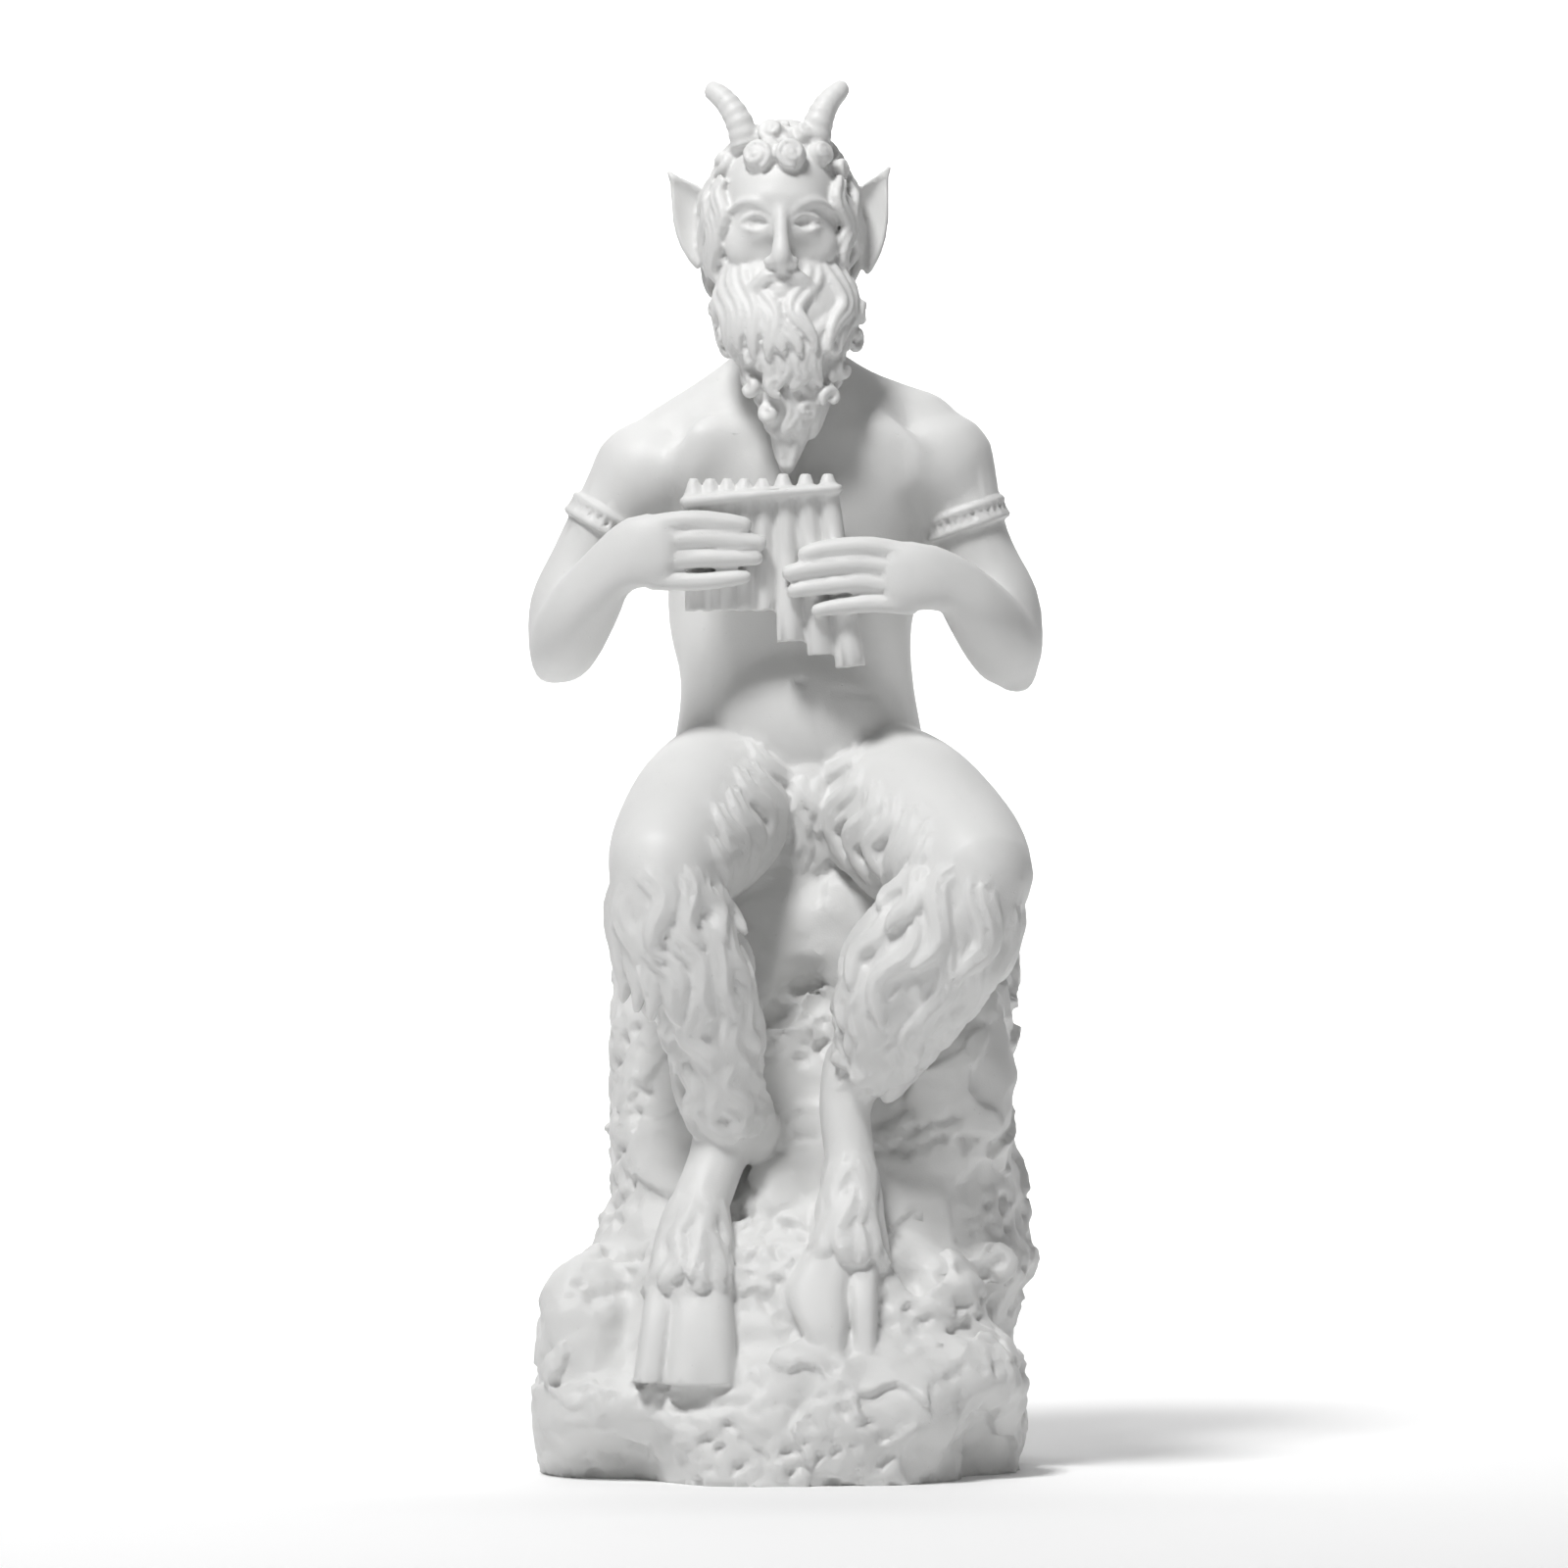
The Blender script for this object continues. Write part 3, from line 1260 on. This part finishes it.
# %% [markdown]
# ## Cast marble
#
# The material is marble powder bound with clear resin, cast in a rubber mould: almost white,
# satin to matt, with a very fine grain, faint grey clouds, dust in the hollows and a few pits
# where an air bubble met the mould. Light goes a millimetre or two into it, so it gets
# a little subsurface scattering.

# %% A helper for nodes, and the marble
def linear(hex_colour):
    """A linear colour from an sRGB hex value."""
    channels = [int(hex_colour[i : i + 2], 16) / 255 for i in (0, 2, 4)]
    return [c / 12.92 if c <= 0.04045 else ((c + 0.055) / 1.055) ** 2.4 for c in channels] + [1.0]


def add_node(tree, kind, inputs=(), **settings):
    """One node with its settings. An input is a value, or an output socket to link from."""
    made = tree.nodes.new(kind)
    for name, value in settings.items():
        setattr(made, name, value)
    for socket, value in dict(inputs).items():
        if isinstance(value, bpy.types.NodeSocket):
            tree.links.new(value, made.inputs[socket])
        else:
            made.inputs[socket].default_value = value
    return made


MARBLE_WHITE = "E1E1E0"
MARBLE_SHADE = "D2D2D1"
# the powder is ground to about 0.1 mm: its grain is drawn coarser, so that it shows
GRAIN_SIZE = 0.35 * MM
GRAIN_HEIGHT = 0.12 * MM
CLOUD_SIZE = 22 * MM
PIT_SPACING = 3.2 * MM
PIT_WIDTH = 0.5 * MM
PIT_DEPTH = 0.2 * MM
LIGHT_REACH = 1.2 * MM


def cast_marble():
    material = bpy.data.materials.new("cast_marble_satin")
    material.use_nodes = True
    tree = material.node_tree
    shader = tree.nodes["Principled BSDF"]
    place = add_node(tree, "ShaderNodeTexCoord").outputs["Object"]
    cloudy = {"Vector": place, "Scale": 1 / CLOUD_SIZE, "Detail": 5.0}
    grainy = {"Vector": place, "Scale": 1 / GRAIN_SIZE, "Detail": 3.0}
    clouds = add_node(tree, "ShaderNodeTexNoise", cloudy).outputs[0]
    grain = add_node(tree, "ShaderNodeTexNoise", grainy).outputs[0]
    white, shade = linear(MARBLE_WHITE), linear(MARBLE_SHADE)
    tint = add_node(tree, "ShaderNodeMix", {0: clouds, 6: white, 7: shade}, data_type="RGBA")
    gloss = add_node(tree, "ShaderNodeMapRange", {"Value": clouds, "To Min": 0.46, "To Max": 0.6})
    cells = add_node(tree, "ShaderNodeTexVoronoi", {"Vector": place, "Scale": 1 / PIT_SPACING})
    dip = {"Value": cells.outputs["Distance"], "From Max": 0.5 * PIT_WIDTH / PIT_SPACING}
    pits = add_node(tree, "ShaderNodeMapRange", dip).outputs[0]
    pitted = add_node(tree, "ShaderNodeBump", {"Height": pits, "Strength": 0.5, "Distance": PIT_DEPTH})
    rough = {"Height": grain, "Strength": 0.3, "Distance": GRAIN_HEIGHT, "Normal": pitted.outputs[0]}
    bump = add_node(tree, "ShaderNodeBump", rough)
    tree.links.new(tint.outputs[2], shader.inputs["Base Color"])
    tree.links.new(gloss.outputs[0], shader.inputs["Roughness"])
    tree.links.new(bump.outputs[0], shader.inputs["Normal"])
    shader.inputs["IOR"].default_value = 1.5
    shader.inputs["Subsurface Weight"].default_value = 0.07
    shader.inputs["Subsurface Radius"].default_value = (1.0, 0.95, 0.9)
    shader.inputs["Subsurface Scale"].default_value = LIGHT_REACH
    return material


marble = cast_marble()
print(marble.name, "has", len(marble.node_tree.nodes), "nodes")

# %% [markdown]
# ## The pan pipes
#
# The pipes have eight reeds tied by one bar: five short ones, and three long ones that spread.
# Their tops stand over the bar like small teeth, and their lower ends are open. A plain cylinder
# would be too regular: the real reeds lean a little and the long ones widen, so each is a limb.

# %% Reeds and bar
PIPE_DEPTH = -18.2
PIPE_TOP = 213.0
SHORT_PIPES = [-19.4, -15.8, -12.2, -8.5, -4.6]
SHORT_PIPE_RADIUS = 2.1
SHORT_PIPE_FOOT = 184.8
LONG_PIPES = [(-0.2, 1.4, 178.2, 2.9), (4.6, 7.9, 175.4, 2.9), (9.4, 14.3, 172.8, 3.3)]
PIPE_BORE_DEPTH = 3.0
# height over the reed's upper end, and share of its radius
REED_TOP = [(-1.0, 0.9), (0.6, 0.86), (2.0, 0.68), (3.3, 0.48)]
BAR = [(-21.2, -19.4, 208.2, 1.25, 2.9), (-4, -19.8, 209.9, 1.2, 2.9), (11.6, -19.4, 211.1, 1.0, 2.8)]


def open_reed(clay, reed):
    """A reed with a flat lower end and a short bore sunk into it."""
    sides, steps = 24, 12
    rings = []
    for i in range(steps + 1):
        centre, along, across, facing, radius, _ = reed.at(i / steps)
        rings.append(ring_of(centre, across, facing, radius, radius, sides))
    for inset, sink in ((0.72, 0.0), (0.62, 0.5), (0.5, 1.0)):
        middle = centre - along * PIPE_BORE_DEPTH * sink
        rings.append(ring_of(middle, across, facing, radius * inset, radius * inset, sides))
    loft(clay, rings)


def add_reed_top(clay, reed):
    """The end of a reed that stands over the bar, tapered and cut off flat."""
    radius = reed.rows[0][3]
    across, facing, up = np.identity(3)
    rings = []
    for rise, share in REED_TOP:
        middle = reed.rows[0][:3] + up * rise
        rings.append(ring_of(middle, across, facing, radius * share, radius * share, 16))
    loft(clay, rings)


def add_pipes(clay):
    """Eight reeds held by a bar: five short ones, then three long ones that spread and widen."""
    y, radius = PIPE_DEPTH, SHORT_PIPE_RADIUS
    reeds = []
    for x in SHORT_PIPES:
        foot = [(x + 0.25, y, SHORT_PIPE_FOOT + 4, radius), (x + 0.3, y, SHORT_PIPE_FOOT, radius * 1.05)]
        reeds.append(Limb([(x, y, PIPE_TOP - 3, radius), *foot]))
    for top, foot, low, wide in LONG_PIPES:
        middle = ((top + foot) / 2, y, (PIPE_TOP + low) / 2, 2.5)
        reeds.append(Limb([(top, y, PIPE_TOP - 2, 2.3), middle, (foot, y, low, wide)]))
    for reed in reeds:
        open_reed(clay, reed)
        add_reed_top(clay, reed)
    Limb(BAR, wide=(0, 0, 1), squareness=3).add_to(clay, sides=24)


# %% [markdown]
# ## Fingers
#
# Four fingers of each hand lie flat across the reeds. Only their knuckles are further back, where
# they grow out of the hand, so a finger needs no more than its heights and its thickness.

# %% Fingers
KNUCKLE_DEPTH, FINGER_DEPTH = -21.8, -22.4
FINGERS = [
    # x, z and radius at the knuckle, at both joints and at the tip
    [(-29, 203.2, 2.15), (-20, 204.2, 2.20), (-13, 203.8, 2.05), (-8.6, 203.2, 1.75)],
    [(-29, 199.4, 2.15), (-18, 200.3, 2.15), (-10, 199.8, 2.00), (-5.2, 199.4, 1.65)],
    [(-29, 195.2, 2.15), (-18, 196.0, 2.05), (-10, 196.1, 1.90), (-6.0, 196.1, 1.60)],
    [(-28, 191.2, 2.05), (-19, 191.0, 1.95), (-12, 191.6, 1.75), (-8.4, 192.1, 1.45)],
    [(27, 197.2, 2.05), (18, 198.6, 2.15), (9, 198.0, 2.05), (4.6, 196.9, 1.75)],
    [(27, 193.6, 2.15), (16, 194.9, 2.15), (6, 193.8, 2.05), (1.2, 192.9, 1.70)],
    [(27, 189.8, 2.05), (17, 190.8, 2.05), (7, 189.9, 1.90), (2.2, 189.1, 1.60)],
    [(27, 185.8, 1.95), (19, 186.3, 1.95), (11, 185.6, 1.75), (7.2, 184.9, 1.45)],
]


def add_fingers(clay):
    for (x, z, radius), *rest in FINGERS:
        knuckle = (x, KNUCKLE_DEPTH, z, radius)
        finger = [knuckle, *((x, FINGER_DEPTH, z, radius) for x, z, radius in rest)]
        Limb(finger, wide=(0, 0, 1)).add_to(clay, sides=18, rings=16)


# %% [markdown]
# ## The armbands
#
# An armband is two hoops with upright ribs between them. What repeats on a circle is a job for
# Geometry Nodes: the circle is drawn once, a wire follows it twice, and one rib is placed on each
# of its points. Only the radius differs from arm to arm, so it is the group's input.

# %% One armband by Geometry Nodes
BAND_PLACE = 0.37
BAND_HEIGHT = 3.6
BAND_PROUD = 0.9
BAND_INPUTS = {"Radius": 9.5, "Height": BAND_HEIGHT, "Hoop radius": 0.8, "Rib radius": 0.55, "Ribs": 30}


def band_tree():
    """A node group: two hoops, and ribs that stand on a circle between them."""
    tree = bpy.data.node_groups.new("ribbed_band", "GeometryNodeTree")
    for name, value in BAND_INPUTS.items():
        kind = "NodeSocketInt" if isinstance(value, int) else "NodeSocketFloat"
        tree.interface.new_socket(name, in_out="INPUT", socket_type=kind).default_value = value
    tree.interface.new_socket("Geometry", in_out="OUTPUT", socket_type="NodeSocketGeometry")
    given = add_node(tree, "NodeGroupInput").outputs
    hoop_line = {"Resolution": 96, "Radius": given["Radius"]}
    wire_line = {"Resolution": 12, "Radius": given["Hoop radius"]}
    circle = add_node(tree, "GeometryNodeCurvePrimitiveCircle", hoop_line).outputs[0]
    wire = add_node(tree, "GeometryNodeCurvePrimitiveCircle", wire_line).outputs[0]
    hoop = add_node(tree, "GeometryNodeCurveToMesh", {"Curve": circle, "Profile Curve": wire}).outputs[0]
    parts = []
    for share in (-0.5, 0.5):
        offset = add_node(tree, "ShaderNodeMath", {0: given["Height"], 1: share}, operation="MULTIPLY")
        shift = add_node(tree, "ShaderNodeCombineXYZ", {"Z": offset.outputs[0]}).outputs[0]
        parts.append(add_node(tree, "GeometryNodeTransform", {"Geometry": hoop, "Translation": shift}).outputs[0])
    spots = {"Curve": circle, "Count": given["Ribs"]}
    places = add_node(tree, "GeometryNodeCurveToPoints", spots, mode="COUNT").outputs[0]
    size = {"Vertices": 10, "Radius": given["Rib radius"], "Depth": given["Height"]}
    rib = add_node(tree, "GeometryNodeMeshCylinder", size).outputs[0]
    parts.append(add_node(tree, "GeometryNodeInstanceOnPoints", {"Points": places, "Instance": rib}).outputs[0])
    joined = add_node(tree, "GeometryNodeJoinGeometry")
    for part in parts:
        tree.links.new(part, joined.inputs["Geometry"])
    solid = add_node(tree, "GeometryNodeRealizeInstances", {"Geometry": joined.outputs[0]}).outputs[0]
    dressed = add_node(tree, "GeometryNodeSetMaterial", {"Geometry": solid, "Material": marble}).outputs[0]
    add_node(tree, "NodeGroupOutput", {"Geometry": dressed})
    return tree


def add_armbands(clay, tree):
    for side, arm in UPPER_ARMS.items():
        centre, along, across, facing, radius, _ = arm.at(BAND_PLACE)

        def grow(holder):
            step = holder.modifiers.new("band", "NODES")
            step.node_group = tree
            radius_input = tree.interface.items_tree["Radius"].identifier
            step[radius_input] = float(radius + BAND_PROUD * 0.5)

        band = evaluated(bpy.data.meshes.new("band seed"), "band", grow)
        turn = Matrix((across, facing, -along)).transposed().to_4x4()
        band.transform(Matrix.Translation(Vector(centre)) @ turn)
        clay.from_mesh(band)
        print("armband", "left" if side == LEFT else "right", "has", len(band.polygons), "faces")


# %% [markdown]
# ## One casting
#
# Everything goes into one lump, and the voxel Remesh makes it one closed skin at half a
# millimetre, as the mould did. Decimate then spends triangles where the surface bends.

# %% Triangles, and the outer skin
CARVING_VOXEL = 0.48
# before the foot of the rock is sawn off level
TRIANGLES = 219000
DETAIL_STRENGTH = 0.02
PLAIN, FURRED, FINE, WHOLE = 1.0, 0.7, 0.5, 0.0


def keep_outer_skin(mesh):
    """Drops every shell but the largest, so that no sealed hollow is left inside."""
    ends = np.empty(len(mesh.edges) * 2, np.int32)
    mesh.edges.foreach_get("vertices", ends)
    first, second = ends.reshape(-1, 2).T
    label = np.arange(len(mesh.vertices))
    while True:
        low = np.minimum(label[first], label[second])
        before = label.copy()
        np.minimum.at(label, first, low)
        np.minimum.at(label, second, low)
        label = label[label]
        if (label == before).all():
            break
    shells, counts = np.unique(label, return_counts=True)
    print("shells:", len(shells), "largest:", counts.max())
    drop = np.flatnonzero(label != shells[counts.argmax()])
    clay = bmesh.new()
    clay.from_mesh(mesh)
    clay.verts.ensure_lookup_table()
    bmesh.ops.delete(clay, geom=[clay.verts[i] for i in drop], context="VERTS")
    clay.to_mesh(mesh)
    clay.free()
    return mesh


# %% Thin out, saw level and put together
def decimated(mesh, triangles):
    mesh.calc_loop_triangles()
    share = triangles / len(mesh.loop_triangles)
    x, y, z = points_of(mesh).T
    whole = (z > 214) & (y < -7) & (abs(x) < 21)
    fine = ~whole & ((z > 235) & (abs(x) < 27) | (y < -15) & (z > 168) & (abs(x) < 30))
    furred = ~whole & ~fine & (y < -18) & (z > 20)

    def thin_out(holder):
        group = holder.vertex_groups.new(name="may go")
        group.add(np.flatnonzero(~whole & ~fine & ~furred).tolist(), PLAIN, "REPLACE")
        group.add(np.flatnonzero(whole).tolist(), WHOLE, "REPLACE")
        group.add(np.flatnonzero(furred).tolist(), FURRED, "REPLACE")
        group.add(np.flatnonzero(fine).tolist(), FINE, "REPLACE")
        step = holder.modifiers.new("fewer faces", "DECIMATE")
        step.ratio = share
        step.use_collapse_triangulate = True
        step.vertex_group = "may go"
        step.vertex_group_factor = DETAIL_STRENGTH

    return evaluated(mesh, "decimated", thin_out)


def cut_flat_base(mesh):
    """Saws the rock off level at the height of the origin."""
    clay = bmesh.new()
    clay.from_mesh(mesh)
    everything = clay.verts[:] + clay.edges[:] + clay.faces[:]
    level = {"plane_co": (0, 0, 0), "plane_no": (0, 0, 1), "clear_inner": True}
    cut = bmesh.ops.bisect_plane(clay, geom=everything, **level)
    rim = [e for e in cut["geom_cut"] if isinstance(e, bmesh.types.BMEdge)]
    bmesh.ops.contextual_create(clay, geom=rim)
    bmesh.ops.triangulate(clay, faces=clay.faces[:])
    clay.to_mesh(mesh)
    clay.free()


def add_details(clay):
    for horn in HORNS.values():
        add_horn(clay, horn)
    for side, (tip, lobe) in EARS.items():
        add_ear(clay, side, tip, lobe)
    add_crown(clay)
    add_side_locks(clay)
    add_beard(clay)
    add_tufts(clay)
    add_groin(clay)
    add_hooves(clay)
    add_pipes(clay)
    add_fingers(clay)
    add_armbands(clay, band_tree())


def one_casting():
    clay = bmesh.new()
    add_details(clay)
    for mesh in (torso, face, legs, rock):
        clay.from_mesh(mesh)
    cast = decimated(keep_outer_skin(fused(mesh_of(clay, "casting"), CARVING_VOXEL)), TRIANGLES)
    cut_flat_base(cast)
    cast.transform(Matrix.Scale(MM, 4))
    cast.shade_smooth()
    print("casting:", len(cast.polygons), "triangles")
    return cast


statue = bpy.data.objects.new("pan_casting", one_casting())
bpy.context.scene.collection.objects.link(statue)

# %% Dress the casting
statue.data.materials.clear()
statue.data.materials.append(marble)
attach(statue, "root")
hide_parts("pan_statue")

# %% [markdown]
# ## Floor, light and camera
#
# The photo is a catalogue shot on pure white: soft light from the front and above, a little
# stronger from the left, and a long lens at half the statue's height.

# %% Stage
CAMERA_DISTANCE = 1.8
CAMERA_HEIGHT = 0.1477
VIEW_WIDTH = 0.340
SENSOR_WIDTH = 36
SWEEP_START = 2.0
SWEEP_RADIUS = 1.0


def add_stage():
    """A sweep of white paper: a floor that curves up into a wall."""
    profile = [(-4.0, 0.0), (SWEEP_START, 0.0)]
    for step in range(1, 13):
        turn = math.radians(90 * step / 12)
        rise = SWEEP_RADIUS * (1 - math.cos(turn))
        profile.append((SWEEP_START + SWEEP_RADIUS * math.sin(turn), rise))
    profile.append((SWEEP_START + SWEEP_RADIUS, 4.0))
    points = [(x, y, z) for y, z in profile for x in (-5, 5)]
    faces = [(2 * i, 2 * i + 1, 2 * i + 3, 2 * i + 2) for i in range(len(profile) - 1)]
    mesh = bpy.data.meshes.new("paper_sweep")
    mesh.from_pydata(points, [], faces)
    mesh.shade_smooth()
    sweep = bpy.data.objects.new("paper_sweep", mesh)
    bpy.context.scene.collection.objects.link(sweep)
    paper = bpy.data.materials.new("white_paper")
    paper.use_nodes = True
    paper.node_tree.nodes["Principled BSDF"].inputs["Base Color"].default_value = linear("F8F8F8")
    paper.node_tree.nodes["Principled BSDF"].inputs["Roughness"].default_value = 0.9
    mesh.materials.append(paper)


def add_light(name, place, target, power, size):
    data = bpy.data.lights.new(name, "AREA")
    data.energy, data.size = power, size
    lamp = bpy.data.objects.new(name, data)
    lamp.location = place
    lamp.rotation_mode = "QUATERNION"
    lamp.rotation_quaternion = (Vector(place) - Vector(target)).to_track_quat("Z", "Y")
    bpy.context.scene.collection.objects.link(lamp)


def add_camera():
    data = bpy.data.cameras.new("camera")
    data.sensor_width = SENSOR_WIDTH
    data.lens = SENSOR_WIDTH * CAMERA_DISTANCE / VIEW_WIDTH
    data.clip_end = 20
    camera = bpy.data.objects.new("camera", data)
    camera.location = (0, -CAMERA_DISTANCE, CAMERA_HEIGHT)
    camera.rotation_euler = (math.pi / 2, 0, 0)
    bpy.context.scene.collection.objects.link(camera)
    bpy.context.scene.camera = camera


MIDDLE = (0, 0, STATUE_HEIGHT / 2)
LIGHTS = [
    # name, place, what it points at, watts and size
    ("key", (-0.35, -0.62, 1.25), MIDDLE, 15.5, 0.3),
    ("fill", (0.7, -1.2, 0.3), MIDDLE, 0.8, 0.8),
    ("paper", (0, 0.9, 1.9), (0, 3, 0.6), 80, 1.6),
]
add_stage()
for light in LIGHTS:
    add_light(*light)
add_camera()
world = bpy.data.worlds.new("studio")
world.use_nodes = True
world.node_tree.nodes["Background"].inputs["Color"].default_value = (1, 1, 1, 1)
world.node_tree.nodes["Background"].inputs["Strength"].default_value = 0.1
bpy.context.scene.world = world
bpy.context.scene.view_settings.view_transform = "Standard"
